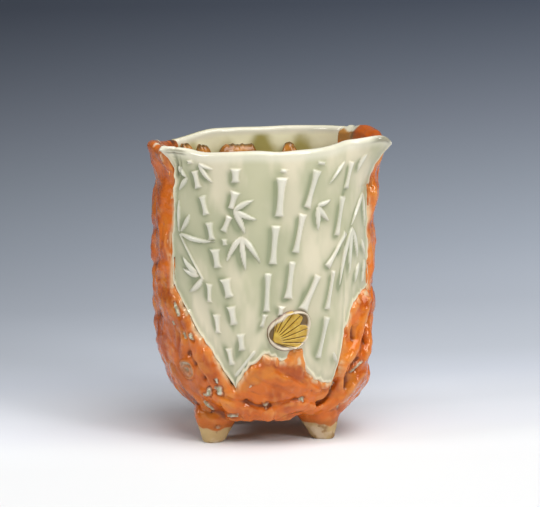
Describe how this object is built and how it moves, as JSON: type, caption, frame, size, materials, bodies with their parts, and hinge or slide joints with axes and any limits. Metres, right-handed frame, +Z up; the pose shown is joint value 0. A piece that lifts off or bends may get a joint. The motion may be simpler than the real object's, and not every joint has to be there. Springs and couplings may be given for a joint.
{
  "type": "tea cup",
  "caption": "Hand-built footed tea cup with no handle: pale green slabs with torn lower edges and pulled lip corners, set in orange bark-like clay with roots, a gold button and short feet.",
  "frame": {"origin": "on the table, under the middle of the cup's overall box", "axes": "+Z up, out of the cup's mouth; the front slab, with the gold button, faces -Y; +X is to the right of a person facing the front"},
  "size_m": [0.0787, 0.0658, 0.1028],
  "materials": {
    "celadon": "gloss",
    "bark": "gloss",
    "gold_glaze": "gloss"
  },
  "bodies": {
    "root": {"front_slab": "celadon", "back_slab": "celadon", "front_apron": "bark", "back_apron": "bark", "left_spine": "bark", "right_spine": "bark", "liner": "bark", "floor_slab": "bark", "left_front_root": "bark", "front_base_root": "bark", "right_front_root": "bark", "right_side_root": "bark", "right_back_root": "bark", "back_base_root": "bark", "left_back_root": "bark", "front_left_foot": "bark", "front_right_foot": "bark", "back_left_foot": "bark", "back_right_foot": "bark", "medallion": "gold_glaze", "left_knot": "bark"}
  },
  "joints": []
}
